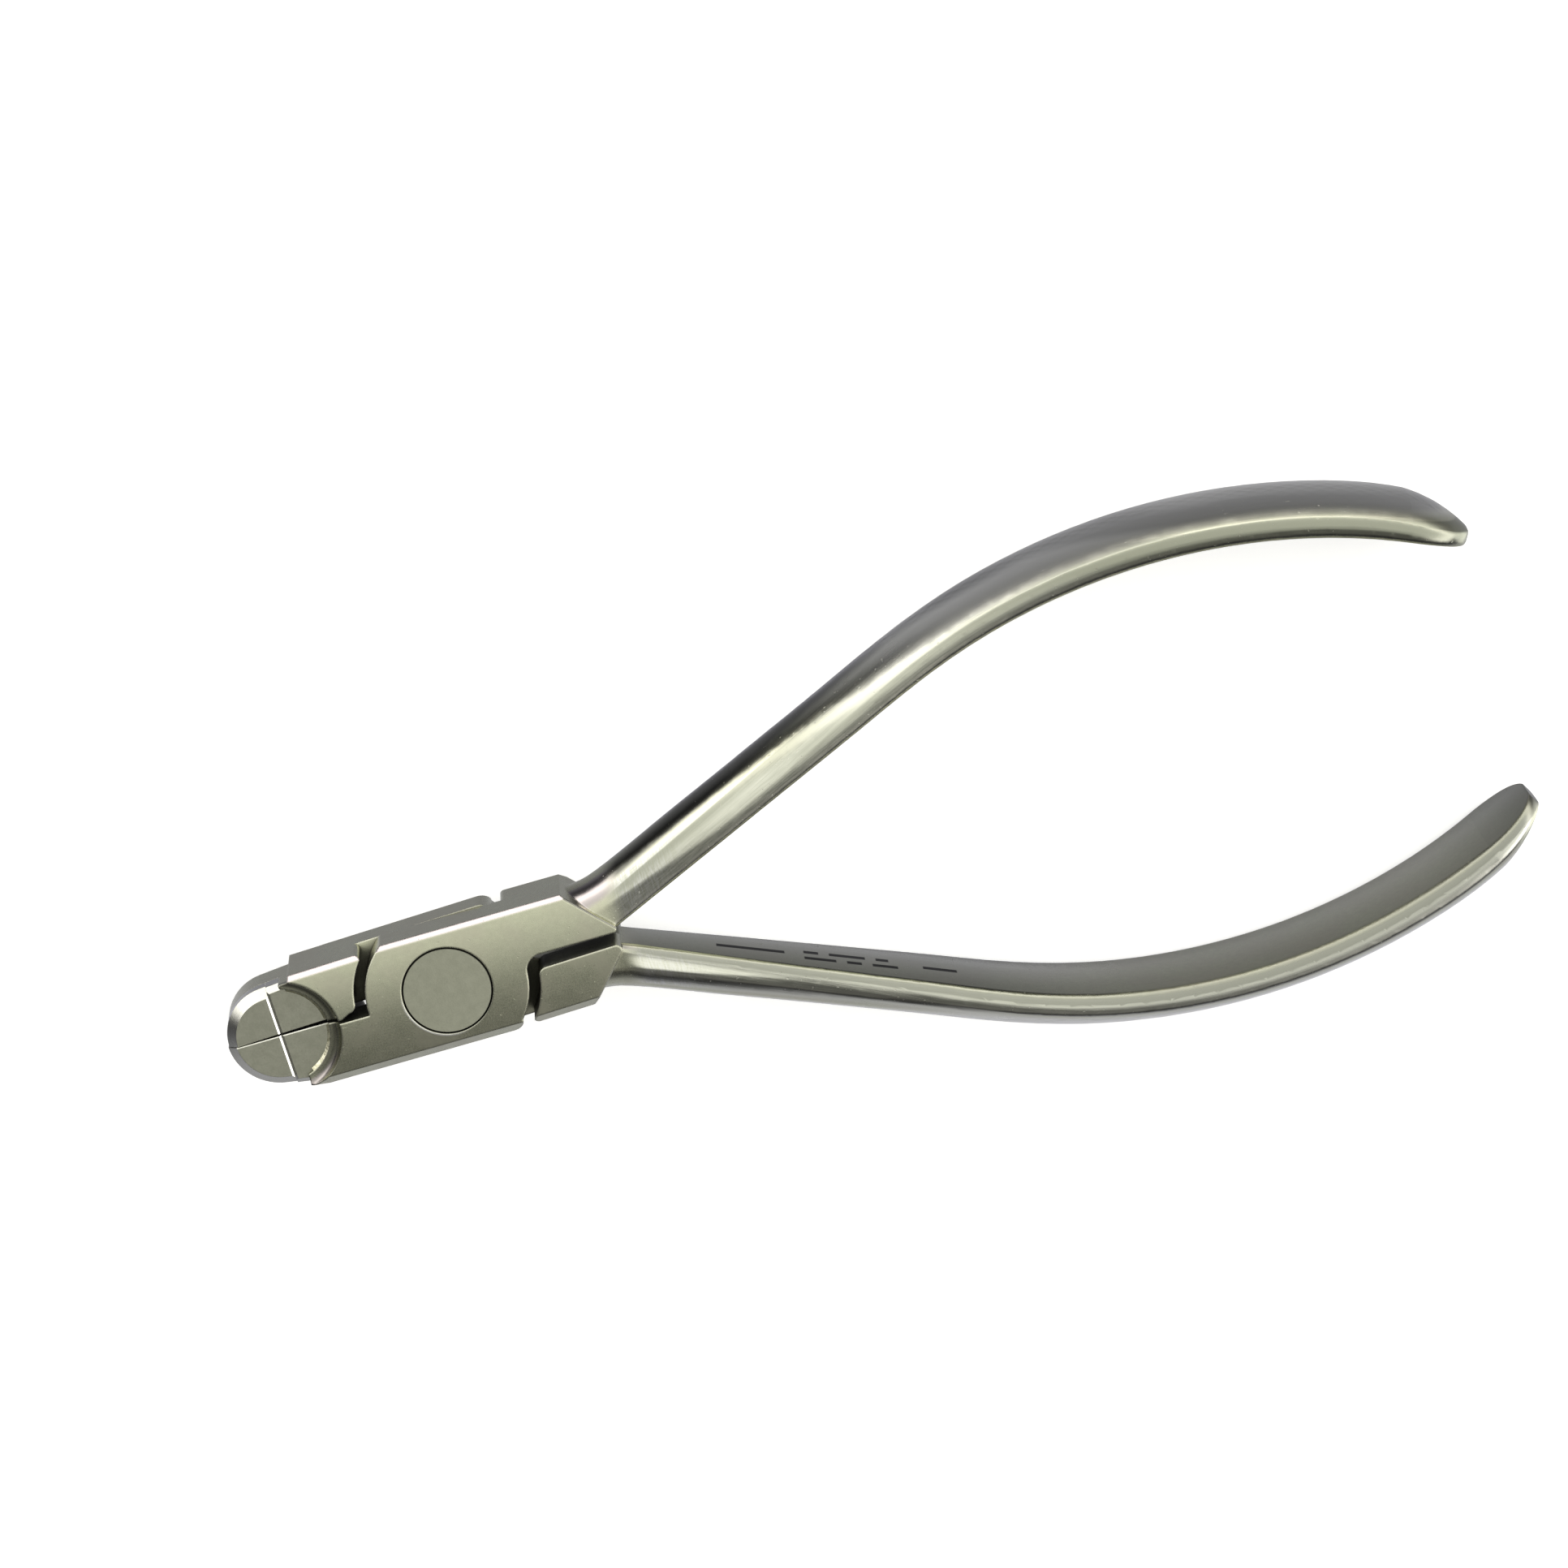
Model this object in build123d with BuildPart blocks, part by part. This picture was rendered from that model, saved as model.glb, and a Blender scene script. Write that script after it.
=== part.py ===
"""Lap-joint wire-cutting pliers with a round flush-cutting face, lying flat.

Row frame: origin on the pivot axis at the underside of the joint, +X toward the handle ends,
+Y toward the handle of the near lever, +Z up out of the near face. Millimetres.
Both levers are the same forging turned half a turn about X, so one set of functions draws both,
each on the lever's own plane. The recess and the relief at the tip are cut afterwards in the
row frame, because they lie on the same side of both jaws.
"""

import math
import os

from build123d import *

# Joint
THICK = 8.0  # head thickness over both lapped plates
MID = THICK / 2  # plane where the plates lap
HALF = 6.36  # half width of the head
LAP_GAP = 0.04  # each lapped face stands this far off the middle plane
LEAN = 0.8  # each lever leans this many degrees when the tips touch
PLATE_R = 8.25  # edge of the lapped plates, concentric with the pivot
SHOULDER_R = 9.4  # edge of the blocks that face the plates
TAIL_Y = 1.05  # inner edge of the plate's tail
BLOCK_Y = 0.75  # inner edge of the blocks
JAW_Y = -0.33  # parting face of a jaw in its own lever's frame
ROUND = 0.9  # rounding of the block corners seen from above
SLANT = ((13.6, HALF), (18.0, 1.7))  # slanted end of the head over the handle root
SLANT_BREAK = 0.15

# Long bevels of the head: own face, handle side and jaw side, then the other face
OWN_TOP = 0.45
OWN_LOW = 0.95
OTHER_TOP = 0.9
OTHER_LOW = 0.5

# Rivet
HEAD_R = 4.5
HEAD_DEEP = 2.2
HEAD_CLEAR = 0.08
SHANK_R = 3.0
RUNNING = 0.04  # radial clearance where the near lever turns on the shank
CLENCH_R = 3.9
CLENCH_DEEP = 1.0
BORE_BREAK = 0.07

# Tip
TIP_X = -17.6  # centre of the round face, on the X axis of the row frame
# Each jaw in front of the head: where it narrows, where its flank starts, nose centre and radius
LOWER_JAW = ((-14.2, -HALF), (-15.0, -6.2), -17.75, 5.42)
UPPER_JAW = ((-14.8, -HALF), (-15.1, -5.5), -18.0, 5.05)
DISC_R = 5.0
COVE_R = 6.2
SINK = 1.6  # the round face lies this far below the near face
INSERT_DEEP = 2.2
FLOOR_Z = THICK - SINK
POCKET_Z = FLOOR_Z - INSERT_DEEP
RELIEF = 1.0  # the jaws are this much thinner on the far side
SEAM = 0.3  # braze fillet along the rear inserts
SEAM_SPAN = (4.0, 66.0)  # degrees from the X axis covered by a seam
NOSE_BEVEL = 0.95
REAR_BEVEL = 0.6
COVE_FROM = TIP_X + 1.4  # in front of this the round face runs out to the flank
SPLIT = 0.015  # half of the joint line between front and rear insert
GROOVE = (0.2, 0.26)  # broken edges of that joint line on the front and rear insert
PARTING_BREAK = 0.1

# Handles
RUN_ANGLE = 24.85  # direction of the straight run, degrees from X
BEND = (79.4, -39.9)  # centre of the bow
BEND_R = 63.0  # radius of the bow at the inner face
RUN_LEN = 42.0
BOW_LEN = 59.3
ROOT_STATIONS = (1.6, 2.8, 4.2)  # sections where the handle flares into the head
FLARE_LEN = 5.4
FLARE = (1.7, 0.6)  # growth of its thickness and half its width at arc length 0
STATIONS = 12  # sections from there to the rounded end, less one
ROOT_WIDTH = 6.3  # handle across Z at the root, then at the bow
BOW_WIDTH = 12.7
ROOT_THICK = 5.2
BOW_THICK = 4.32
SWELL = (3.0, 75.0)  # arc lengths between which the section changes from root to bow
INNER_ROUND = (0.75, 1.2)  # rounded edges of the inner face, at the root and at the bow
OUTER_ROUND = (1.3, 1.1)  # rounded corners between the sides and the crown
SIDE_FLAT = 0.25  # least height of the flat sides
CROWN_MOST = 0.88  # the crown is never higher than this share of half the width
TAPER_LEN = 9.0  # the last stretch thins toward the end
END_THICK = 1.6
END_ROUND = 6.4
END_TURNS = (0, 20, 38, 54, 66, 75)  # degrees of the rounded end that sections are drawn at


def own_plane(near):
    """The plane a lever is drawn on: its plate is always the half above the middle plane."""
    lean = math.radians(-LEAN if near else LEAN)
    x_dir = (math.cos(lean), math.sin(lean), 0)
    if near:
        return Plane(origin=(0, 0, 0), x_dir=x_dir, z_dir=(0, 0, 1))
    return Plane(origin=(0, 0, THICK), x_dir=x_dir, z_dir=(0, 0, -1))


def on_circle(radius, y, side):
    """Point at height y on a circle about the pivot."""
    return (side * math.sqrt(radius**2 - y**2), y)


def nose_points(shape):
    """Tangent point of the flank on the round nose, a middle point and the cutting tip."""
    _, flank, nose_x, radius = shape
    centre = (nose_x, nose_x * math.sin(math.radians(LEAN)))
    away = (flank[0] - centre[0], flank[1] - centre[1])
    touch = math.atan2(away[1], away[0]) - math.acos(radius / math.hypot(*away))
    last = -math.pi - math.asin((JAW_Y - centre[1]) / radius)
    angles = (touch, (touch + last) / 2, last)
    return [(centre[0] + radius * math.cos(a), centre[1] + radius * math.sin(a)) for a in angles]


def plate_outline(plane, shape):
    """Half-thickness plate: jaw root, round edges and the tail toward the handle."""
    front_low = on_circle(PLATE_R, JAW_Y, -1)
    front_top = on_circle(PLATE_R, HALF - 0.5, -1)
    rear_top = on_circle(PLATE_R, -0.5, 1)
    rear_low = on_circle(PLATE_R, -HALF + 1.2, 1)
    corner, flank = shape[:2]
    arc = nose_points(shape)
    with BuildSketch(plane.offset(MID + LAP_GAP)) as outline:
        with BuildLine():
            Line(arc[2], front_low)
            ThreePointArc(front_low, on_circle(PLATE_R, HALF / 2, -1), front_top)
            Line(front_top, (front_top[0] + 0.6, HALF))
            Line((front_top[0] + 0.6, HALF), SLANT[0])
            Line(SLANT[0], SLANT[1])
            ThreePointArc(SLANT[1], (18.05, 1.25), (17.6, TAIL_Y))
            Line((17.6, TAIL_Y), (10.2, TAIL_Y))
            ThreePointArc((10.2, TAIL_Y), (8.8, 0.6), rear_top)
            ThreePointArc(rear_top, on_circle(PLATE_R, -HALF / 2, 1), rear_low)
            ThreePointArc(rear_low, (rear_low[0] - 0.35, -HALF + 0.38), (rear_low[0] - 1.3, -HALF))
            Polyline((rear_low[0] - 1.3, -HALF), corner, flank, arc[0])
            ThreePointArc(*arc)
        make_face()
    return outline.sketch


def jaw_outline(plane, shape):
    """Full-thickness jaw outside the shoulder circle."""
    low = on_circle(SHOULDER_R, -HALF + 0.5, -1)
    top = on_circle(SHOULDER_R, -BLOCK_Y - ROUND, -1)
    corner, flank = shape[:2]
    arc = nose_points(shape)
    with BuildSketch(plane) as outline:
        with BuildLine():
            Line(corner, (low[0] - 0.5, -HALF))
            ThreePointArc((low[0] - 0.5, -HALF), (low[0] - 0.15, -HALF + 0.15), low)
            ThreePointArc(low, on_circle(SHOULDER_R, -HALF / 2, -1), top)
            ThreePointArc(top, (top[0] - 0.26, -BLOCK_Y - 0.26), (top[0] - ROUND, -BLOCK_Y))
            Line((top[0] - ROUND, -BLOCK_Y), (top[0] - ROUND - 0.9, JAW_Y))
            Line((top[0] - ROUND - 0.9, JAW_Y), arc[2])
            ThreePointArc(*arc)
            Polyline(arc[0], flank, corner)
        make_face()
    return outline.sketch


def block_outline(plane):
    """Block under the handle root, outside the shoulder circle."""
    top = on_circle(SHOULDER_R, HALF - 0.5, 1)
    low = on_circle(SHOULDER_R, BLOCK_Y + ROUND, 1)
    with BuildSketch(plane) as outline:
        with BuildLine():
            Line((top[0] + 0.5, HALF), SLANT[0])
            Line(SLANT[0], SLANT[1])
            ThreePointArc(SLANT[1], (17.9, 1.0), (17.3, BLOCK_Y))
            Line((17.3, BLOCK_Y), (low[0] + ROUND, BLOCK_Y))
            ThreePointArc((low[0] + ROUND, BLOCK_Y), (low[0] + 0.26, BLOCK_Y + 0.26), low)
            ThreePointArc(low, on_circle(SHOULDER_R, HALF / 2, 1), top)
            ThreePointArc(top, (top[0] + 0.15, HALF - 0.15), (top[0] + 0.5, HALF))
        make_face()
    return outline.sketch


def head_profile(plane):
    """Cross-section of the head with its four long bevels, drawn across the lever."""
    across = Plane(plane.from_local_coords((-30, 0, 0)), x_dir=plane.y_dir, z_dir=plane.x_dir)
    with BuildSketch(across) as profile:
        Polygon(
            (-HALF + OTHER_LOW, 0),
            (HALF - OTHER_TOP, 0),
            (HALF, OTHER_TOP),
            (HALF, THICK - OWN_TOP),
            (HALF - OWN_TOP, THICK),
            (-HALF + OWN_LOW, THICK),
            (-HALF, THICK - OWN_LOW),
            (-HALF, OTHER_LOW),
            align=None,
        )
    return profile.sketch


def handle_section(plane, s, tip=0.0):
    """D section at arc length s: flat inner face, rounded edges, narrow flat sides, crowned outside.

    tip is the angle, in degrees, that the rounded end has turned through at this section.
    """
    turn = math.radians(RUN_ANGLE)
    back = max(0.0, RUN_LEN - s)
    if s > RUN_LEN:
        turn -= (s - RUN_LEN) / BEND_R
    x = BEND[0] - BEND_R * math.sin(turn) - back * math.cos(turn)
    y = BEND[1] + BEND_R * math.cos(turn) - back * math.sin(turn)
    rise = min(1.0, max(0.0, (s - SWELL[0]) / (SWELL[1] - SWELL[0])))
    blend = math.sin(math.pi / 2 * rise)
    late = max(0.0, 1 - (RUN_LEN + BOW_LEN - s) / TAPER_LEN)
    flare = max(0.0, 1 - s / FLARE_LEN) ** 2
    narrow = math.cos(math.radians(tip)) ** 0.8
    half = (ROOT_WIDTH + (BOW_WIDTH - ROOT_WIDTH) * blend) / 2 * narrow + FLARE[1] * flare
    thick = ROOT_THICK + (BOW_THICK - ROOT_THICK) * blend - (BOW_THICK - END_THICK) * late * late
    thick += FLARE[0] * flare
    edge = INNER_ROUND[0] + (INNER_ROUND[1] - INNER_ROUND[0]) * blend - 0.6 * late
    corner = OUTER_ROUND[0] + (OUTER_ROUND[1] - OUTER_ROUND[0]) * blend - 0.5 * late
    crown = min(thick - edge - SIDE_FLAT, CROWN_MOST * half)
    flat = thick - crown
    reach = half - corner
    radius = (crown**2 + reach**2 - corner**2) / (2 * (crown - corner))
    lie = math.atan2(reach, radius - crown)
    corner_mid = (math.pi / 2 + lie) / 2
    corner_end = (thick - radius * (1 - math.cos(lie)), radius * math.sin(lie))
    middle = (flat + corner * math.cos(corner_mid), reach + corner * math.sin(corner_mid))
    soft = edge * (1 - math.sqrt(0.5))
    origin = plane.from_local_coords((x, y, MID))
    ahead = plane.from_local_coords((x + math.cos(turn), y + math.sin(turn), MID)) - origin
    outward = plane.from_local_coords((x - math.sin(turn), y + math.cos(turn), MID)) - origin
    with BuildSketch(Plane(origin=origin, x_dir=outward, z_dir=ahead)) as section:
        with BuildLine():
            Line((0, -half + edge), (0, half - edge))
            ThreePointArc((0, half - edge), (soft, half - soft), (edge, half))
            Line((edge, half), (flat, half))
            ThreePointArc((flat, half), middle, corner_end)
            ThreePointArc(corner_end, (thick, 0), (corner_end[0], -corner_end[1]))
            ThreePointArc((corner_end[0], -corner_end[1]), (middle[0], -middle[1]), (flat, -half))
            Line((flat, -half), (edge, -half))
            ThreePointArc((edge, -half), (soft, -half + soft), (0, -half + edge))
        make_face()
    return section.sketch


def draw_handle(plane):
    """The long strip of a handle, then its end, which narrows like half an ellipse."""
    straight = RUN_LEN + BOW_LEN - END_ROUND
    step = (straight - FLARE_LEN) / STATIONS
    stations = [*ROOT_STATIONS, *(FLARE_LEN + i * step for i in range(STATIONS + 1))]
    loft([handle_section(plane, s) for s in stations])
    reach = END_ROUND / math.sin(math.radians(END_TURNS[-1]))
    loft(
        [
            handle_section(plane, straight + reach * math.sin(math.radians(tip)), tip)
            for tip in END_TURNS
        ]
    )


def break_edge(plane, start, end, size, height, up=1):
    """Take a 45 degree bevel off a flat face at this height, along a line of the lever."""
    first = plane.from_local_coords((*start, 0))
    last = plane.from_local_coords((*end, 0))
    along = Vector(last.X - first.X, last.Y - first.Y, 0).normalized()
    across = Plane((first.X, first.Y, height), x_dir=(0, 0, up), z_dir=along)
    with BuildSketch(across) as wedge:
        Polygon((-size, 0), (0, size), (1, 0), (0, -size), align=None)
    extrude(wedge.sketch, amount=30, both=True, mode=Mode.SUBTRACT)


def draw_lever(plane, shape):
    """Head, long bevels and handle of one lever, added to the part being built."""
    extrude(plate_outline(plane, shape), amount=MID - LAP_GAP)
    extrude(jaw_outline(plane, shape), amount=THICK)
    extrude(block_outline(plane), amount=MID + LAP_GAP)
    extrude(head_profile(plane), amount=60, mode=Mode.INTERSECT)
    break_edge(plane, *SLANT, SLANT_BREAK, THICK)
    break_edge(plane, *SLANT, SLANT_BREAK, 0, up=-1)
    draw_handle(plane)
    with BuildSketch(plane) as strip:
        with Locations((14.4, BLOCK_Y)):
            Rectangle(7.0, 6.0, align=(Align.CENTER, Align.MAX))
    extrude(strip.sketch, amount=THICK, mode=Mode.SUBTRACT)
    with BuildSketch(plane.offset(MID + LAP_GAP)) as strip_above:
        with Locations((14.4, TAIL_Y)):
            Rectangle(7.0, 2.0, align=(Align.CENTER, Align.MAX))
    extrude(strip_above.sketch, amount=MID, mode=Mode.SUBTRACT)


def cut_tip():
    """Sunk round face, cove, insert pocket and far-side relief, cut in the row frame."""
    with BuildSketch(Plane.XZ) as cove:
        with BuildLine():
            Polyline(
                (TIP_X, POCKET_Z),
                (TIP_X + DISC_R, POCKET_Z),
                (TIP_X + DISC_R, FLOOR_Z + SEAM),
            )
            ThreePointArc(
                (TIP_X + DISC_R, FLOOR_Z + SEAM),
                (TIP_X + DISC_R + 0.85, FLOOR_Z + 0.65),
                (TIP_X + COVE_R, THICK),
            )
            Polyline(
                (TIP_X + COVE_R, THICK),
                (TIP_X + COVE_R, THICK + 1),
                (TIP_X, THICK + 1),
                (TIP_X, POCKET_Z),
            )
        make_face()
    revolve(cove.sketch, axis=Axis((TIP_X, 0, 0), (0, 0, 1)), mode=Mode.SUBTRACT)
    with BuildSketch(Plane.XY.offset(POCKET_Z)) as front:
        with Locations((COVE_FROM, 0)):
            Rectangle(10, 20, align=(Align.MAX, Align.CENTER))
    extrude(front.sketch, amount=THICK, mode=Mode.SUBTRACT)
    with BuildSketch(Plane.XZ.offset(-20)) as relief:
        Polygon((-30, -1), (-9.6, -1), (-9.6, 0), (-11.4, RELIEF), (-30, RELIEF), align=None)
    extrude(relief.sketch, amount=40, mode=Mode.SUBTRACT)


def draw_insert(near, front):
    """Quarter of the round face: the jaw's own outline, limited to the pocket."""
    plane = own_plane(near)
    shape = LOWER_JAW if near else UPPER_JAW
    extrude(jaw_outline(plane, shape), amount=THICK)
    with BuildSketch(Plane.XY.offset(POCKET_Z)) as quarter:
        if front:
            with Locations((TIP_X - SPLIT, 0)):
                Rectangle(10, 20, align=(Align.MAX, Align.CENTER))
        else:
            with Locations((TIP_X, 0)):
                Circle(DISC_R)
            with Locations((COVE_FROM, 0)):
                Rectangle(2, 20, align=(Align.MAX, Align.CENTER))
            with Locations((TIP_X + SPLIT, 0)):
                Rectangle(10, 20, align=(Align.MAX, Align.CENTER), mode=Mode.SUBTRACT)
    extrude(quarter.sketch, amount=INSERT_DEEP, mode=Mode.INTERSECT)
    if front:
        outer = [
            edge
            for edge in edges()
            if abs(edge.center().Z - FLOOR_Z) < 0.01
            and abs(edge.center().Y) > 1.0
            and (edge.center().X < TIP_X - 1 or abs(edge.center().Y) > DISC_R - 0.3)
        ]
        chamfer(outer, NOSE_BEVEL)
    else:
        break_edge(plane, shape[1], nose_points(shape)[0], REAR_BEVEL, FLOOR_Z)
    with BuildSketch(Plane.XZ.offset(-20)) as groove:
        Polygon(
            (TIP_X - GROOVE[0], FLOOR_Z),
            (TIP_X + GROOVE[1], FLOOR_Z),
            (TIP_X, FLOOR_Z - GROOVE[1]),
            align=None,
        )
    extrude(groove.sketch, amount=40, mode=Mode.SUBTRACT)
    break_edge(plane, (-30, JAW_Y), (0, JAW_Y), PARTING_BREAK, FLOOR_Z)


def draw_seam(near):
    """Braze fillet between the round face and the cove, along one rear insert."""
    with BuildSketch(Plane.XZ) as fillet_section:
        with BuildLine():
            Polyline(
                (TIP_X + DISC_R - SEAM, FLOOR_Z),
                (TIP_X + DISC_R, FLOOR_Z),
                (TIP_X + DISC_R, FLOOR_Z + SEAM),
                (TIP_X + DISC_R - SEAM, FLOOR_Z),
            )
        make_face()
    turn = SEAM_SPAN[0] if not near else -SEAM_SPAN[1]
    about = Axis((TIP_X, 0, 0), (0, 0, 1))
    section = fillet_section.sketch.rotate(about, turn)
    revolve(section, axis=about, revolution_arc=SEAM_SPAN[1] - SEAM_SPAN[0])


with BuildPart() as near_lever:
    draw_lever(own_plane(True), LOWER_JAW)
    cut_tip()
    with BuildSketch(Plane.XY) as shank_bore:
        Circle(SHANK_R + RUNNING)
    extrude(shank_bore.sketch, amount=THICK, mode=Mode.SUBTRACT)
    with BuildSketch(Plane.XY.offset(THICK - HEAD_DEEP)) as head_bore:
        Circle(HEAD_R + HEAD_CLEAR)
    extrude(head_bore.sketch, amount=HEAD_DEEP, mode=Mode.SUBTRACT)

with BuildPart() as far_lever:
    draw_lever(own_plane(False), UPPER_JAW)
    cut_tip()
    with BuildSketch(Plane.XZ) as clench_bore:
        Polygon(
            (0, 0), (CLENCH_R, 0), (SHANK_R, CLENCH_DEEP), (SHANK_R, THICK), (0, THICK), align=None
        )
    revolve(clench_bore.sketch, axis=Axis.Z, mode=Mode.SUBTRACT)

with BuildPart() as pivot_rivet:
    with BuildSketch(Plane.XZ) as rivet_section:
        Polygon(
            (0, 0),
            (CLENCH_R, 0),
            (SHANK_R, CLENCH_DEEP),
            (SHANK_R, THICK - HEAD_DEEP),
            (HEAD_R, THICK - HEAD_DEEP),
            (HEAD_R, THICK - BORE_BREAK),
            (HEAD_R - BORE_BREAK, THICK),
            (0, THICK),
            align=None,
        )
    revolve(rivet_section.sketch, axis=Axis.Z)

with BuildPart() as lower_front_insert:
    draw_insert(near=True, front=True)

with BuildPart() as lower_rear_insert:
    draw_insert(near=True, front=False)

with BuildPart() as upper_front_insert:
    draw_insert(near=False, front=True)

with BuildPart() as upper_rear_insert:
    draw_insert(near=False, front=False)

with BuildPart() as lower_braze_seam:
    draw_seam(near=True)

with BuildPart() as upper_braze_seam:
    draw_seam(near=False)

nodes = {
    "near_lever": near_lever,
    "far_lever": far_lever,
    "pivot_rivet": pivot_rivet,
    "lower_front_insert": lower_front_insert,
    "lower_rear_insert": lower_rear_insert,
    "upper_front_insert": upper_front_insert,
    "upper_rear_insert": upper_rear_insert,
    "lower_braze_seam": lower_braze_seam,
    "upper_braze_seam": upper_braze_seam,
}
os.makedirs("parts", exist_ok=True)
for label, builder in nodes.items():
    builder.part.label = label
    export_step(builder.part, f"parts/{label}.step")
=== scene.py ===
"""Looks for the sprue nippers: satin steel levers, rivet, carbide inserts and brazed seams."""

import bpy
from mathutils import Matrix, Vector


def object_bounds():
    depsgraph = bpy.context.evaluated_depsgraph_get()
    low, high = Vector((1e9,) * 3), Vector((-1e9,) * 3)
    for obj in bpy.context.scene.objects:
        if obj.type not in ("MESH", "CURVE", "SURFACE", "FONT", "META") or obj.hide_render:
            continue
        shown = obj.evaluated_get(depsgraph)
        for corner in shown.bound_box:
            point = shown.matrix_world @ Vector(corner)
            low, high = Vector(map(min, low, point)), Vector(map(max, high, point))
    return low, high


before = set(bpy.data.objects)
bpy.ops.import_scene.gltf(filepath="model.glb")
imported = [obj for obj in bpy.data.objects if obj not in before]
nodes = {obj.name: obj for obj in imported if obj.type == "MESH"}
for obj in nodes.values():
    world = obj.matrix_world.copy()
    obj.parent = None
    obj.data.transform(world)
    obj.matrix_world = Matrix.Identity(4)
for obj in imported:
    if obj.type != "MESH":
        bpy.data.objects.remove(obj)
cad_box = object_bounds()
scene = bpy.context.scene
scene.view_settings.view_transform = "Standard"

MM = 0.001

# Places on the levers at rest, in millimetres. A pair is where something starts and where it is full.
HANDLE_X = (17.5, 20.0)  # the head's finish gives way to the handle's
BOW_X = (50.0, 74.0)  # the straight run's finish gives way to the bow's
CROWN_X = (38.0, 62.0)  # the handle's outer side turns satin and is painted pale as a sheen
CROWN_OUT = (1.0, 2.2)  # how far out from the inner face that outer side starts
ROOT_X = (29.0, 21.0)  # brush marks beside the head
RUN_ACROSS = (-0.4202, 0.9074)  # direction square to the straight run's inner face
RUN_OFFSET = 6.57
BOW_CENTRE = (79.4, -39.9)
BOW_RADIUS = 63.0
BOW_MEETS_X = 52.9  # the bow takes over from the run
LINE_WIDE_X = (34.0, 46.0)  # the painted dark reflection strip inside the near handle's highlight line widens
LEAN_X = (62.0, 40.0)  # the far handle's strip that leans inwards, between these two distances out
LEAN_OUT_FROM = (0.3, 1.2)
LEAN_OUT_TO = (2.2, 1.5)
MID_Z = 4.0  # half the height of the head
DISC_X = -17.6  # middle of the disc of inserts
COVE = (5.75, 0.5, 0.3)  # the cove round the disc, painted in shade: its radius, then how far off that it starts and is full
COVE_Z = (6.1, 6.3)
RIVET_JOINT = (4.5, 0.13, 0.08)  # the joint round the rivet, given in the same way
RIVET_LIP = (4.74, 0.13, 0.05)  # the painted highlight on the lip outside that joint
RIVET_RIM = (4.36, 4.44)  # the rivet's own dark rim
GROOVE = (DISC_X, 0.6, 0.4)  # the groove that crosses the disc
LEVER_EDGE = 0.28  # radius that the edges are rounded to
RIVET_EDGE = 0.08
INSERT_EDGE = 0.06
LEVER_GAP = 2.3  # widest gap that is painted dark with shade
INSERT_GAP = 0.5
MARK_SOFT = 0.06  # half the width of an etched mark's soft outline

# How far out the near handle's highlight line is, which the painted dark strip and shade leave between them:
# from one x to another, it goes from one value to another.
LINE_OUT = (50.0, 66.0, 3.2, 2.75)
LINE_OUT_IN_BOW = (66.0, 86.0, 0.0, -1.45)  # added to the first

# Plain dashes etched on the far handle's inner face: the x and z of two opposite corners of each.
MARKS = [
    ((27.0, 3.6), (33.4, 4.4)),
    ((35.2, 4.7), (38.2, 5.5)),
    ((39.2, 4.7), (40.6, 5.5)),
    ((41.6, 4.7), (44.0, 5.5)),
    ((35.2, 2.9), (36.6, 3.7)),
    ((37.6, 2.9), (41.0, 3.7)),
    ((42.0, 2.9), (43.2, 3.7)),
    ((46.4, 3.8), (49.6, 4.6)),
]

# Colours. A pair is the two that a noise wanders between.
SATIN = ((0.53, 0.54, 0.405), (0.61, 0.62, 0.465))
SATIN_WARM = (0.56, 0.53, 0.43)
# Painted sheen: the pale colour of the handle's outer side.
CROWN_PAINTED_SHEEN = (0.95, 0.95, 0.86)
# The two levers are one steel; the near lever's polish is painted darker than the far lever's, as shade, most
# of all in the bow.
NEAR_POLISH = ((0.62, 0.625, 0.53), (0.72, 0.725, 0.62))
FAR_POLISH = ((0.68, 0.685, 0.59), (0.80, 0.805, 0.70))
NEAR_BOW_POLISH_PAINTED_SHADE = (0.38, 0.385, 0.33)
FAR_BOW_POLISH = (0.58, 0.585, 0.52)
BRUSHED = (0.85, 0.85, 0.80)
# Painted dark reflection: a strip inside the near handle's highlight line.
PAINTED_DARK_REFLECTION = (0.30, 0.31, 0.24)
# Painted shade on the turn of the far handle.
PAINTED_TURN_SHADE = (0.22, 0.225, 0.19)
# Painted shade outside the near handle's highlight line.
SHADE = (0.10, 0.10, 0.09)
# Painted reflection on the head's ground bevels, and painted shade on their slanted end.
BEVEL_PAINTED_REFLECTION = (0.50, 0.455, 0.44)
SLANTED_BEVEL_PAINTED_SHADE = (0.20, 0.20, 0.17)
# Painted highlight and painted shade along the lever's edges, by the way they face.
EDGE_PAINTED_HIGHLIGHT = (0.80, 0.79, 0.72)
SHADED_EDGE = (0.12, 0.12, 0.10)
# Painted shade in the cove round the disc.
COVE_SHADE = (0.10, 0.10, 0.085)
# Painted highlight on one side of the rivet's lip.
RIVET_LIP_HIGHLIGHT = (0.95, 0.95, 0.90)
# Painted shade deep in gaps.
GAP_SHADE = (0.03, 0.03, 0.024)
JOINT_LINE = (0.02, 0.02, 0.016)
ETCHED = (0.04, 0.04, 0.035)
RIVET_FACE = ((0.49, 0.50, 0.39), (0.56, 0.57, 0.45))
CARBIDE = ((0.39, 0.395, 0.315), (0.47, 0.475, 0.385))
# Painted sheen on the inserts' ground bevels, and painted highlights on their edges.
CARBIDE_BEVEL_SHEEN = (0.62, 0.62, 0.56)
CARBIDE_EDGE_HIGHLIGHT = (0.72, 0.72, 0.65)
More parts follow.
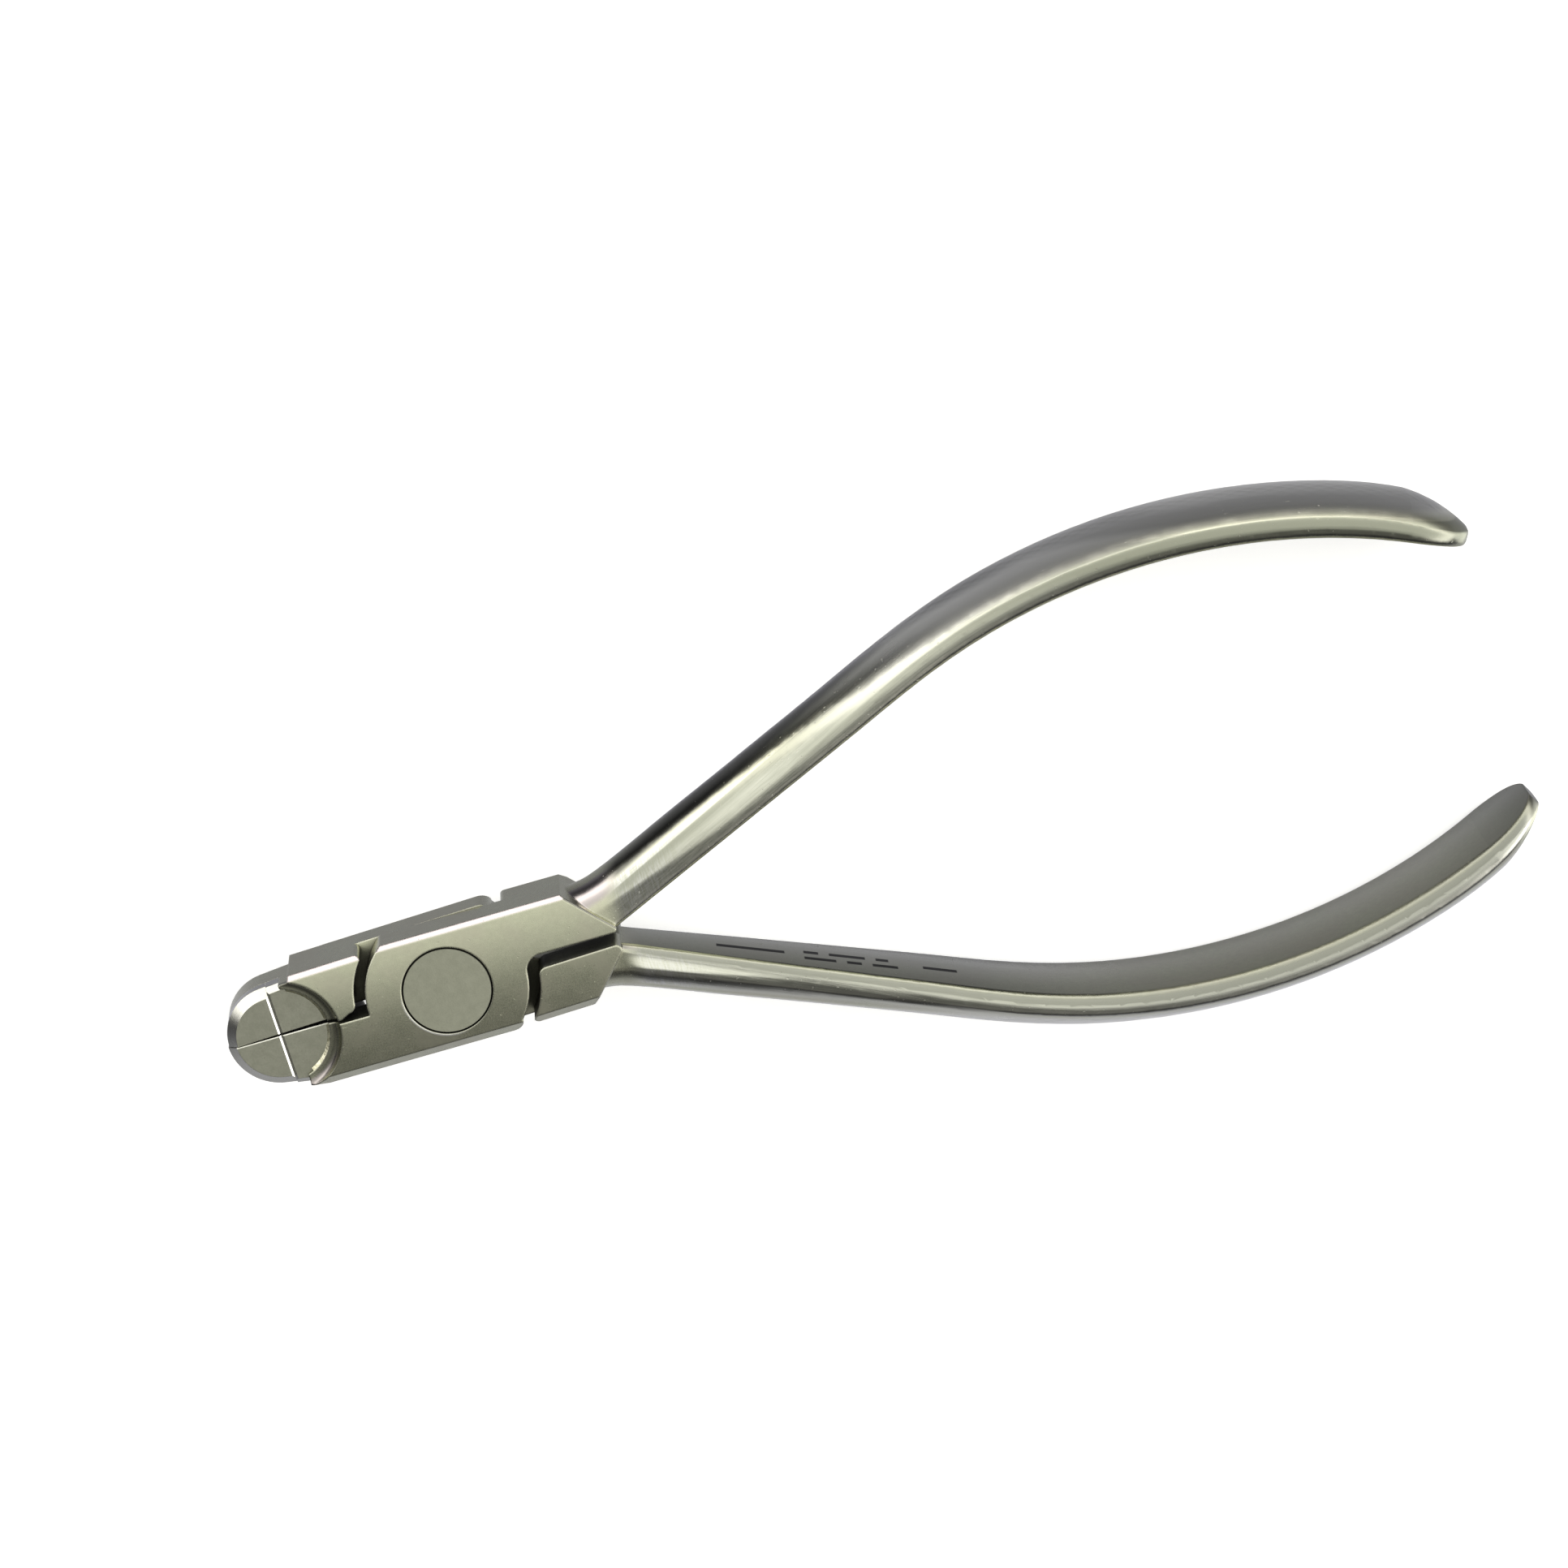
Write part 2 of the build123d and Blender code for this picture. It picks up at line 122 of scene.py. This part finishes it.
# Painted shade in the inserts' gaps.
CARBIDE_GAP_SHADE = (0.04, 0.04, 0.03)
GROOVE_LIT = (1.0, 1.0, 0.95)
BRAZE = ((0.55, 0.54, 0.38), (0.92, 0.90, 0.70))
PAPER = ((0.93, 0.93, 0.925), (0.95, 0.95, 0.945))
BACKDROP = (0.95, 0.95, 0.945)

# Roughness. A pair is again the two that a noise wanders between.
SATIN_ROUGH = (0.26, 0.32)
GRAIN_ROUGH = (-0.03, 0.03)  # added to another
RUN_ROUGH = (0.15, 0.20)
BOW_ROUGH = 0.32
RIM_ROUGH = (0.17, 0.24)
CROWN_ROUGH = 0.32
BEVEL_ROUGH = 0.17
LIT_EDGE_ROUGH = 0.18
PIT_ROUGH = 0.15  # added to another
ETCHED_ROUGH = 0.5
GAP_ROUGH = 0.6
RIVET_ROUGH = (0.36, 0.42)
CARBIDE_ROUGH = (0.40, 0.50)
CARBIDE_BEVEL_ROUGH = 0.22
BRAZE_ROUGH = (0.26, 0.42)
PAPER_ROUGH = 0.9

# Studio: four directions, and how bright it is by the cosine of the angle from one of them.
TILT = Vector((0.0277, 0.2976, 0.9543))  # the main axis, a little off the vertical
WALL = Vector((0.684, 0.690, -0.235))  # square to it, towards the brighter wall
AHEAD = Vector((0.2865, 0.9123, -0.2928))  # square to it as well, on the near handle's side
LAMP = Vector((0.932, -0.301, -0.200))  # a broad round light low beyond the handles
TENT_BY_TILT = [
    (-0.10, 0.0),
    (0.12, 0.04),
    (0.26, (0.82, 0.80, 0.79)),
    (0.36, (1.0, 0.98, 0.96)),
    (0.50, (0.90, 0.87, 0.85)),
    (0.62, (0.54, 0.54, 0.52)),
    (0.80, (0.44, 0.44, 0.42)),
    (1.0, (0.42, 0.42, 0.395)),
]
TENT_BY_WALL = [
    (-1.0, 0.03),
    (-0.68, 0.07),
    (-0.55, 0.13),
    (-0.45, 0.38),
    (-0.34, 0.72),
    (-0.20, 0.94),
    (1.0, 1.0),
]
TABLE_BY_TILT = [(-1.0, 1.0), (-0.50, 1.0), (-0.32, 0.70), (-0.16, 0.26), (-0.02, 0.12), (0.15, 0.0)]
TABLE_BY_AHEAD = [
    (-0.80, (0.17, 0.17, 0.185)),
    (-0.20, (0.24, 0.24, 0.268)),
    (0.20, (0.185, 0.185, 0.207)),
    (0.50, (0.120, 0.120, 0.134)),
    (0.85, (0.080, 0.080, 0.090)),
]
LAMP_REACH = (0.82, 0.95)
LAMP_GLOW = 0.55
STUDIO_STRENGTH = 2.8

# Floor and camera in metres, the lens in millimetres.
FLOOR_SIZE = 6.0
FLOOR_X = 0.05
FLOOR_GAP = 0.0002
FLOOR_GLOW = 0.5

CAMERA_PLACE = (0.05222, 0.15821, 0.48110)
CAMERA_RIGHT = (0.95769, -0.28147, 0.06000)
CAMERA_BACK = (0.02767, 0.29756, 0.95430)
FOCAL_LENGTH = 114.16
SENSOR_WIDTH = 36.0


class Shader:
    """One node material, with short calls for the nodes it is made of. Lengths in it are millimetres."""

    def __init__(self, name):
        self.material = bpy.data.materials.new(name)
        self.material.use_nodes = True
        self.tree = self.material.node_tree
        self.surface = self.tree.nodes["Principled BSDF"]
        place = self.add("ShaderNodeTexCoord")
        self.normal = place.outputs["Normal"]
        self.mm = self.vector("SCALE", place.outputs["Object"], scale=1 / MM)
        self.x, self.y, self.z = self.split(self.mm)

    def add(self, kind, **settings):
        node = self.tree.nodes.new(kind)
        for key, value in settings.items():
            setattr(node, key, value)
        return node

    def put(self, socket, value):
        if isinstance(value, bpy.types.NodeSocket):
            self.tree.links.new(value, socket)
        else:
            socket.default_value = value

    def math(self, operation, a, b=0.0):
        node = self.add("ShaderNodeMath", operation=operation)
        self.put(node.inputs[0], a)
        self.put(node.inputs[1], b)
        return node.outputs[0]

    def times(self, first, *others):
        """The product of all its values."""
        for other in others:
            first = self.math("MULTIPLY", first, other)
        return first

    def vector(self, operation, a, b=None, scale=None):
        node = self.add("ShaderNodeVectorMath", operation=operation)
        self.put(node.inputs[0], a)
        if b is not None:
            self.put(node.inputs[1], b)
        if scale is not None:
            node.inputs["Scale"].default_value = scale
        return node.outputs["Value" if operation in ("DOT_PRODUCT", "LENGTH") else "Vector"]

    def split(self, vector):
        node = self.add("ShaderNodeSeparateXYZ")
        self.put(node.inputs[0], vector)
        return node.outputs[0], node.outputs[1], node.outputs[2]

    def join(self, x, y, z):
        node = self.add("ShaderNodeCombineXYZ")
        for socket, value in zip(node.inputs, (x, y, z)):
            self.put(socket, value)
        return node.outputs[0]

    def step(self, value, start, end, low=0.0, high=1.0):
        """Goes smoothly from low to high as value goes from start to end."""
        node = self.add("ShaderNodeMapRange", interpolation_type="SMOOTHSTEP")
        self.put(node.inputs["Value"], value)
        for key, number in (("From Min", start), ("From Max", end), ("To Min", low), ("To Max", high)):
            self.put(node.inputs[key], number)
        return node.outputs[0]

    def wander(self, noise, low=0.0, high=1.0):
        """Spreads the usual range of a noise over low to high."""
        return self.step(noise, 0.3, 0.7, low, high)

    def around(self, value, middle, start, end):
        """1 where value is less than end away from middle, 0 where it is more than start away."""
        away = self.math("ABSOLUTE", self.math("SUBTRACT", value, middle))
        return self.step(away, start, end)

    def noise(self, place, scale, detail, rough=0.5):
        node = self.add("ShaderNodeTexNoise")
        self.put(node.inputs["Vector"], place)
        node.inputs["Scale"].default_value = scale
        node.inputs["Detail"].default_value = detail
        node.inputs["Roughness"].default_value = rough
        return node.outputs[0]

    def blend(self, share, a, b):
        """A colour between a and b."""
        node = self.add("ShaderNodeMix", data_type="RGBA")
        self.put(node.inputs["Factor"], share)
        self.put(node.inputs[6], (*a, 1.0) if isinstance(a, tuple) else a)
        self.put(node.inputs[7], (*b, 1.0) if isinstance(b, tuple) else b)
        return node.outputs[2]

    def between(self, share, a, b):
        """A number between a and b."""
        node = self.add("ShaderNodeMix", data_type="FLOAT")
        for socket, value in zip(node.inputs[:1] + node.inputs[2:4], (share, a, b)):
            self.put(socket, value)
        return node.outputs[0]

    def box(self, low, high, soft):
        """1 inside the x and z of a box from its low to its high corner, falling off over soft."""
        inside = 1.0
        for value, a, b in zip((self.x, self.z), low, high):
            middle, half = (a + b) / 2, (b - a) / 2
            inside = self.times(inside, self.around(value, middle, half + soft, half - soft))
        return inside

    def radius(self, centre_x=0.0):
        """Distance across the plane from the upright line through (centre_x, 0)."""
        return self.vector("LENGTH", self.join(self.math("SUBTRACT", self.x, centre_x), self.y, 0.0))

    def rounded(self, radius):
        """The normal with edges rounded by radius, in the scene's axes, and how much a place is an edge."""
        bevel = self.add("ShaderNodeBevel", samples=6)
        bevel.inputs["Radius"].default_value = radius * MM
        flat = self.add("ShaderNodeNewGeometry").outputs["Normal"]
        same = self.vector("DOT_PRODUCT", bevel.outputs[0], flat)
        return bevel.outputs[0], self.step(same, 0.995, 0.9)

    def recess(self, reach):
        """1 deep inside a gap or groove no wider than about reach, 0 in the open."""
        node = self.add("ShaderNodeAmbientOcclusion", samples=16)
        node.inputs["Distance"].default_value = reach * MM
        return self.step(node.outputs["AO"], 0.68, 0.34)

    def tilt(self, normal, x, y, z):
        """Leans the normal by x, y and z of the piece's own axes, for faces finished a little out of true."""
        fall = self.join(x, y, z)
        node = self.add("ShaderNodeVectorTransform", vector_type="VECTOR")
        node.convert_from, node.convert_to = "OBJECT", "WORLD"
        self.put(node.inputs[0], fall)
        return self.vector("NORMALIZE", self.vector("ADD", normal, node.outputs[0]))

    def bump(self, height, normal=None, *, strength, distance):
        node = self.add("ShaderNodeBump")
        node.inputs["Strength"].default_value = strength
        node.inputs["Distance"].default_value = distance * MM
        self.put(node.inputs["Height"], height)
        if normal is not None:
            self.put(node.inputs["Normal"], normal)
        return node.outputs[0]

    def finish(self, colour, roughness, normal):
        """Wires up a bare metal surface."""
        self.put(self.surface.inputs["Base Color"], colour)
        self.put(self.surface.inputs["Roughness"], roughness)
        self.put(self.surface.inputs["Normal"], normal)
        self.surface.inputs["Metallic"].default_value = 1.0
        return self.material


def out_of_handle(s):
    """How far a place is from its handle's inner face, along the straight run and the bow."""
    side = s.math("ABSOLUTE", s.y)
    across = s.math("ADD", s.times(s.x, RUN_ACROSS[0]), s.times(side, RUN_ACROSS[1]))
    run = s.math("ADD", across, RUN_OFFSET)
    centre_x, centre_y = BOW_CENTRE
    from_centre = s.join(s.math("SUBTRACT", s.x, centre_x), s.math("SUBTRACT", side, centre_y), 0.0)
    bow = s.math("SUBTRACT", s.vector("LENGTH", from_centre), BOW_RADIUS)
    return s.between(s.math("GREATER_THAN", s.x, BOW_MEETS_X), run, bow)


class LeverZones:
    """Masks for the parts of a lever that are finished in their own way."""

    def __init__(self, s, rounded, edge):
        self.out = out_of_handle(s)
        # The parts of a face's normal: along +x, along +y, and up or down. The far handle's inner face is
        # the one that looks along +y.
        self.along, self.facing, upright = s.split(s.normal)
        self.up = s.math("ABSOLUTE", upright)
        self.handle = s.step(s.x, *HANDLE_X)
        self.head = s.math("SUBTRACT", 1.0, self.handle)
        self.bow = s.step(s.x, *BOW_X)
        self.crown = s.times(s.step(s.x, *CROWN_X), s.step(self.out, *CROWN_OUT))
        self.rim = s.times(self.handle, s.step(self.up, 0.62, 0.8))
        sloping = s.times(s.step(self.up, 0.25, 0.4), s.step(self.up, 0.98, 0.9))
        self.bevel = s.times(self.head, sloping, s.step(self.facing, 0.3, 0.5))
        self.slanted_bevel = s.times(self.bevel, s.step(self.along, 0.12, 0.3))
        self.gap = s.recess(LEVER_GAP)
        # The edges painted with a highlight or with shade are picked by the scene's axes, as the light is.
        east, north, rise = s.split(rounded)
        upper = s.times(edge, s.step(rise, 0.72, 0.9), s.step(north, -0.12, 0.05))
        self.lit_edge = s.times(upper, s.step(east, 0.22, 0.08))
        self.shaded_edge = s.times(edge, self.head, s.step(north, -0.08, -0.22))


class LeverNoise:
    """The noises of a lever's finish, with their scales per millimetre."""

    def __init__(self, s, out):
        drawn_out = s.join(s.times(s.x, 0.08), s.times(out, 5.0), s.times(s.z, 5.0))
        self.streak = s.noise(drawn_out, 1.6, 4.0, 0.6)
        self.brushed = s.noise(s.join(s.times(s.x, 4.0), s.times(out, 0.5), s.z), 1.5, 3.0, 0.6)
        self.cloud = s.noise(s.mm, 0.22, 3.0, 0.55)
        self.mottle = s.noise(s.mm, 1.6, 3.0, 0.6)
        self.grain = s.noise(s.mm, 7.0, 2.0, 0.6)
        self.pits = s.step(s.noise(s.mm, 2.6, 1.0), 0.73, 0.78)


def base_colour(s, zones, noise, far):
    """Blasted satin, with polish on the upper and lower faces of the handle."""
    tone = s.math("ADD", s.times(noise.mottle, 0.5), s.times(noise.grain, 0.5))
    satin = s.blend(s.wander(tone), *SATIN)
    satin = s.blend(s.step(noise.cloud, 0.35, 0.65, 0.0, 0.35), satin, SATIN_WARM)
    # The near lever's polish is painted darker than the far lever's, as shade.
    polish = s.blend(s.wander(noise.streak), *(FAR_POLISH if far else NEAR_POLISH))
    polish = s.blend(s.times(zones.bow, 0.85), polish, FAR_BOW_POLISH if far else NEAR_BOW_POLISH_PAINTED_SHADE)
    root = s.times(zones.rim, s.step(s.x, *ROOT_X), s.step(noise.brushed, 0.35, 0.7))
    polish = s.blend(root, polish, BRUSHED)
    return s.blend(zones.rim, satin, polish)


def near_handle_colour(s, zones, colour):
    """Leaves a highlight line along the near handle, painted as a dark reflection strip inside it and shade
    outside it, and paints a pale sheen on the crown.
    """
    line = s.math("ADD", s.step(s.x, *LINE_OUT), s.step(s.x, *LINE_OUT_IN_BOW))
    past = s.math("SUBTRACT", zones.out, line)
    wide = s.times(s.step(past, -2.8, -1.4), s.step(s.x, *LINE_WIDE_X))
    inside = s.math("MINIMUM", s.math("ADD", s.step(past, -1.4, -0.4), wide), 1.0)
    strip = s.times(inside, s.step(past, -0.12, -0.28), zones.handle)
    fading = s.math("SUBTRACT", zones.handle, s.times(zones.bow, 0.6))
    shade = s.times(s.step(past, 0.2, 0.75), s.step(past, 2.0, 1.2), fading)
    colour = s.blend(s.times(strip, 0.75), colour, PAINTED_DARK_REFLECTION)
    colour = s.blend(s.times(zones.crown, 0.95), colour, CROWN_PAINTED_SHEEN)
    return s.blend(s.times(shade, 0.9), colour, SHADE)


def far_handle_colour(s, zones, colour):
    """Paints shade on the turn of the far handle between its inner and upper faces, and a pale sheen on its
    crown.
    """
    turning = s.times(s.step(zones.facing, 0.12, 0.3), s.step(zones.facing, 0.97, 0.85), zones.handle)
    colour = s.blend(s.times(turning, 0.75), colour, PAINTED_TURN_SHADE)
    return s.blend(s.times(zones.crown, 0.95), colour, CROWN_PAINTED_SHEEN)


def edge_colour(s, zones, colour):
    """Paints reflection and shade tones on the ground bevels of the head, and highlights and shade on edges
    by the way they face.
    """
    colour = s.blend(zones.bevel, colour, BEVEL_PAINTED_REFLECTION)
    colour = s.blend(zones.slanted_bevel, colour, SLANTED_BEVEL_PAINTED_SHADE)
    colour = s.blend(s.times(zones.lit_edge, 0.6), colour, EDGE_PAINTED_HIGHLIGHT)
    return s.blend(s.times(zones.shaded_edge, 0.7), colour, SHADED_EDGE)


def joint_colour(s, zones, colour):
    """Paints shade in the cove round the disc and in gaps, and a highlight on the rivet's lip, and adds the
    rivet's dark joint.
    """
    cove = s.times(s.around(s.radius(DISC_X), *COVE), s.step(s.z, *COVE_Z), s.step(zones.up, 0.995, 0.96))
    colour = s.blend(s.times(cove, 0.45), colour, COVE_SHADE)
    turned = s.radius()
    towards_nose = s.step(s.math("ADD", s.x, s.y), -3.5, -6.0)  # and towards -y
    lip = s.times(s.around(turned, *RIVET_LIP), towards_nose)
    colour = s.blend(s.times(lip, 0.9), colour, RIVET_LIP_HIGHLIGHT)
    colour = s.blend(s.times(zones.gap, 0.93), colour, GAP_SHADE)
    return s.blend(s.around(turned, *RIVET_JOINT), colour, JOINT_LINE)


def lever_roughness(s, zones, noise):
    rough = s.math("ADD", s.wander(noise.cloud, *SATIN_ROUGH), s.wander(noise.grain, *GRAIN_ROUGH))
    side = s.between(zones.bow, s.wander(noise.streak, *RUN_ROUGH), BOW_ROUGH)
    rough = s.between(zones.handle, rough, side)
    rough = s.between(zones.rim, rough, s.wander(noise.streak, *RIM_ROUGH))
    rough = s.between(zones.crown, rough, CROWN_ROUGH)
    rough = s.between(zones.bevel, rough, BEVEL_ROUGH)
    rough = s.between(s.times(zones.lit_edge, 0.5), rough, LIT_EDGE_ROUGH)
    return s.math("ADD", rough, s.times(noise.pits, PIT_ROUGH))


def lever_normal(s, zones, noise, rounded, far):
    """Faces a little out of true: the head falls away all round, the handle's inner face is rounded, and its
    crown leans down. On the far lever, the strip beside the inner face leans the way that face looks."""
    endward = s.times(zones.head, s.x, 0.001)
    sideward = s.times(zones.head, s.y, 0.030)
    if far:
        strip = s.times(s.step(zones.out, *LEAN_OUT_FROM), s.step(zones.out, *LEAN_OUT_TO))
        leaning = s.times(strip, zones.handle, s.step(s.x, *LEAN_X), 0.34)
        sideward = s.math("ADD", sideward, leaning)
    rounding = s.times(zones.handle, s.step(zones.out, 1.4, 0.6), s.math("SUBTRACT", s.z, MID_Z), 0.040)
    upward = s.math("ADD", rounding, s.times(zones.crown, -0.16))
    normal = s.tilt(rounded, endward, sideward, upward)
    skin = s.math("ADD", noise.grain, s.times(noise.mottle, 0.4))
    normal = s.bump(skin, normal, strength=0.20, distance=0.010)
    normal = s.bump(s.times(noise.streak, zones.handle), normal, strength=0.35, distance=0.012)
    return s.bump(noise.pits, normal, strength=0.3, distance=-0.02)


def marks(s, zones):
    """A mask of the etched dashes."""
    found = 0.0
    for low, high in MARKS:
        found = s.math("MAXIMUM", found, s.box(low, high, MARK_SOFT))
    return s.times(found, s.step(zones.facing, 0.6, 0.8), zones.handle)


def steel(name, far):
    """Satin steel: fine blasted faces, ground and polished handle edges, and painted highlights and shade on
    its edges, bevels and handles.
    """
    s = Shader(name)
    rounded, edge = s.rounded(LEVER_EDGE)
    zones = LeverZones(s, rounded, edge)
    noise = LeverNoise(s, zones.out)
    colour = base_colour(s, zones, noise, far)
    colour = (far_handle_colour if far else near_handle_colour)(s, zones, colour)
    colour = edge_colour(s, zones, colour)
    colour = joint_colour(s, zones, colour)
    rough = lever_roughness(s, zones, noise)
    if far:
        etched = marks(s, zones)
        colour = s.blend(etched, colour, ETCHED)
        rough = s.between(etched, rough, ETCHED_ROUGH)
    rough = s.between(zones.gap, rough, GAP_ROUGH)
    return s.finish(colour, rough, lever_normal(s, zones, noise, rounded, far))


def rivet(name):
    """Faced rivet head: finer and a little more neutral than the lever round it."""
    s = Shader(name)
    rounded, _ = s.rounded(RIVET_EDGE)
    turned = s.radius()
    rings = s.noise(s.join(turned, 0.0, 0.0), 9.0, 3.0, 0.6)
    grain = s.noise(s.mm, 6.0, 3.0, 0.6)
    mottle = s.noise(s.mm, 1.1, 3.0, 0.6)
    tone = s.math("ADD", s.times(mottle, 0.6), s.times(grain, 0.4))
    colour = s.blend(s.step(tone, 0.32, 0.68), *RIVET_FACE)
    colour = s.blend(s.step(turned, *RIVET_RIM), colour, JOINT_LINE)
    rough = s.math("ADD", s.wander(rings, *RIVET_ROUGH), s.wander(grain, *GRAIN_ROUGH))
    normal = s.bump(grain, rounded, strength=0.35, distance=0.012)
    normal = s.bump(rings, normal, strength=0.2, distance=0.01)
    return s.finish(colour, rough, normal)


def carbide(name):
    """Ground carbide: darker, granular and matt on its face; on the ground bevels smoother and painted
    brighter as a sheen, with painted highlights on its edges.
    """
    s = Shader(name)
    rounded, edge = s.rounded(INSERT_EDGE)
    along, _, upright = s.split(s.normal)
    bevel = s.step(s.math("ABSOLUTE", upright), 0.97, 0.9)
    grain = s.noise(s.mm, 5.0, 4.0, 0.7)
    mottle = s.noise(s.mm, 1.3, 3.0, 0.6)
    tone = s.math("ADD", s.times(mottle, 0.5), s.times(grain, 0.5))
    colour = s.blend(s.step(tone, 0.32, 0.68), *CARBIDE)
    colour = s.blend(s.times(bevel, 0.8), colour, CARBIDE_BEVEL_SHEEN)
    colour = s.blend(s.times(edge, 0.5), colour, CARBIDE_EDGE_HIGHLIGHT)
    # Painted shade deep in the gaps, on faces that look along -x.
    gap_shade = s.times(s.step(along, 0.3, -0.1), s.recess(INSERT_GAP), 0.8)
    colour = s.blend(gap_shade, colour, CARBIDE_GAP_SHADE)
    # The front wall of the groove, which looks along +x, is painted bright as a highlight and leans up.
    lit = s.times(s.step(along, 0.2, 0.5), s.around(s.x, *GROOVE))
    colour = s.blend(lit, colour, GROOVE_LIT)
    rough = s.between(bevel, s.wander(grain, *CARBIDE_ROUGH), CARBIDE_BEVEL_ROUGH)
    normal = s.tilt(rounded, 0.0, 0.0, s.times(lit, 0.8))
    normal = s.bump(grain, normal, strength=0.45, distance=0.015)
    return s.finish(colour, rough, normal)


def braze(name):
    """Silver braze: a pale yellowish fillet with a cast, beaded skin."""
    s = Shader(name)
    beads = s.noise(s.mm, 2.2, 4.0, 0.7)
    grain = s.noise(s.mm, 8.0, 2.0, 0.6)
    colour = s.blend(s.step(beads, 0.35, 0.65), *BRAZE)
    rough = s.wander(grain, *BRAZE_ROUGH)
    normal = s.bump(beads, strength=0.8, distance=0.10)
    normal = s.bump(grain, normal, strength=0.3, distance=0.015)
    return s.finish(colour, rough, normal)


def paper(name):
    """Pale matt sheet for the floor. It glows a little, so that it stays pale out to the edges."""
    s = Shader(name)
    fibre = s.noise(s.mm, 0.02, 3.0)
    s.put(s.surface.inputs["Base Color"], s.blend(fibre, *PAPER))
    s.surface.inputs["Roughness"].default_value = PAPER_ROUGH
    s.surface.inputs["Emission Color"].default_value = (1.0, 1.0, 1.0, 1.0)
    s.surface.inputs["Emission Strength"].default_value = FLOOR_GLOW
    return s.material


def dress(node, material):
    slots = nodes[node].data.materials
    for index in range(len(slots)):
        slots[index] = material


dress("near_lever", steel("near_lever_steel", False))
dress("far_lever", steel("far_lever_steel", True))
dress("pivot_rivet", rivet("rivet_steel_faced"))
ground = carbide("carbide_ground")
cast = braze("braze_fillet")
for row in ("lower", "upper"):
    dress(row + "_front_insert", ground)
    dress(row + "_rear_insert", ground)
    dress(row + "_braze_seam", cast)

# Floor: a wide pale sheet just under the handles.
floor_z = cad_box[0].z - FLOOR_GAP
bpy.ops.mesh.primitive_plane_add(size=FLOOR_SIZE, location=(FLOOR_X, 0.0, floor_z))
floor = bpy.context.object
floor.name = "floor"
floor.visible_glossy = False
floor.data.materials.append(paper("paper"))

# Studio: a light tent, brightest low down, over a darker table, with a dark gap between them.
world = bpy.data.worlds.new("tent")
scene.world = world
world.use_nodes = True
tree = world.node_tree
tree.nodes.clear()


def world_node(kind, **settings):
    node = tree.nodes.new(kind)
    for key, value in settings.items():
        setattr(node, key, value)
    return node


direction = world_node("ShaderNodeTexCoord")


def cosine(axis):
    """Cosine of the angle between the direction that is lit and an axis."""
    node = world_node("ShaderNodeVectorMath", operation="DOT_PRODUCT")
    tree.links.new(direction.outputs["Generated"], node.inputs[0])
    node.inputs[1].default_value = axis
    return node.outputs["Value"]


def ramp(axis, stops):
    """A colour or grey by the cosine from an axis, eased between its stops."""
    to_unit = world_node("ShaderNodeMapRange")
    tree.links.new(cosine(axis), to_unit.inputs["Value"])
    to_unit.inputs["From Min"].default_value = -1.0
    node = world_node("ShaderNodeValToRGB")
    tree.links.new(to_unit.outputs[0], node.inputs[0])
    band = node.color_ramp
    band.interpolation = "EASE"
    while len(band.elements) < len(stops):
        band.elements.new(0.5)
    for element, (place, colour) in zip(band.elements, stops):
        element.position = (place + 1) / 2
        element.color = (*colour, 1.0) if isinstance(colour, tuple) else (colour, colour, colour, 1.0)
    return node.outputs[0]


def combine(kind, a, b):
    node = world_node("ShaderNodeMix", data_type="RGBA", blend_type=kind)
    node.inputs["Factor"].default_value = 1.0
    tree.links.new(a, node.inputs[6])
    tree.links.new(b, node.inputs[7])
    return node.outputs[2]


tent = combine("MULTIPLY", ramp(TILT, TENT_BY_TILT), ramp(WALL, TENT_BY_WALL))
table = combine("MULTIPLY", ramp(TILT, TABLE_BY_TILT), ramp(AHEAD, TABLE_BY_AHEAD))
lamp = world_node("ShaderNodeMapRange", interpolation_type="SMOOTHSTEP")
tree.links.new(cosine(LAMP), lamp.inputs["Value"])
for key, number in zip(("From Min", "From Max", "To Min", "To Max"), (*LAMP_REACH, 0.0, LAMP_GLOW)):
    lamp.inputs[key].default_value = number
studio = world_node("ShaderNodeBackground")
tree.links.new(combine("ADD", combine("ADD", tent, table), lamp.outputs[0]), studio.inputs["Color"])
studio.inputs["Strength"].default_value = STUDIO_STRENGTH

# The camera sees a pale backdrop past the floor's edge, and everything else sees the studio.
backdrop = world_node("ShaderNodeBackground")
backdrop.inputs["Color"].default_value = (*BACKDROP, 1.0)
seen = world_node("ShaderNodeLightPath")
pick = world_node("ShaderNodeMixShader")
tree.links.new(seen.outputs["Is Camera Ray"], pick.inputs[0])
tree.links.new(studio.outputs[0], pick.inputs[1])
tree.links.new(backdrop.outputs[0], pick.inputs[2])
end = world_node("ShaderNodeOutputWorld")
tree.links.new(pick.outputs[0], end.inputs["Surface"])

# Camera: about half a metre from the near faces, over towards the near handle's side.
lens = bpy.data.cameras.new("camera")
lens.lens = FOCAL_LENGTH
lens.sensor_width = SENSOR_WIDTH
lens.clip_start = 0.01
lens.clip_end = 20.0
camera = bpy.data.objects.new("camera", lens)
scene.collection.objects.link(camera)
right = Vector(CAMERA_RIGHT).normalized()
back = Vector(CAMERA_BACK).normalized()
turn = Matrix((right, back.cross(right), back)).transposed().to_4x4()
camera.matrix_world = Matrix.Translation(CAMERA_PLACE) @ turn
scene.camera = camera
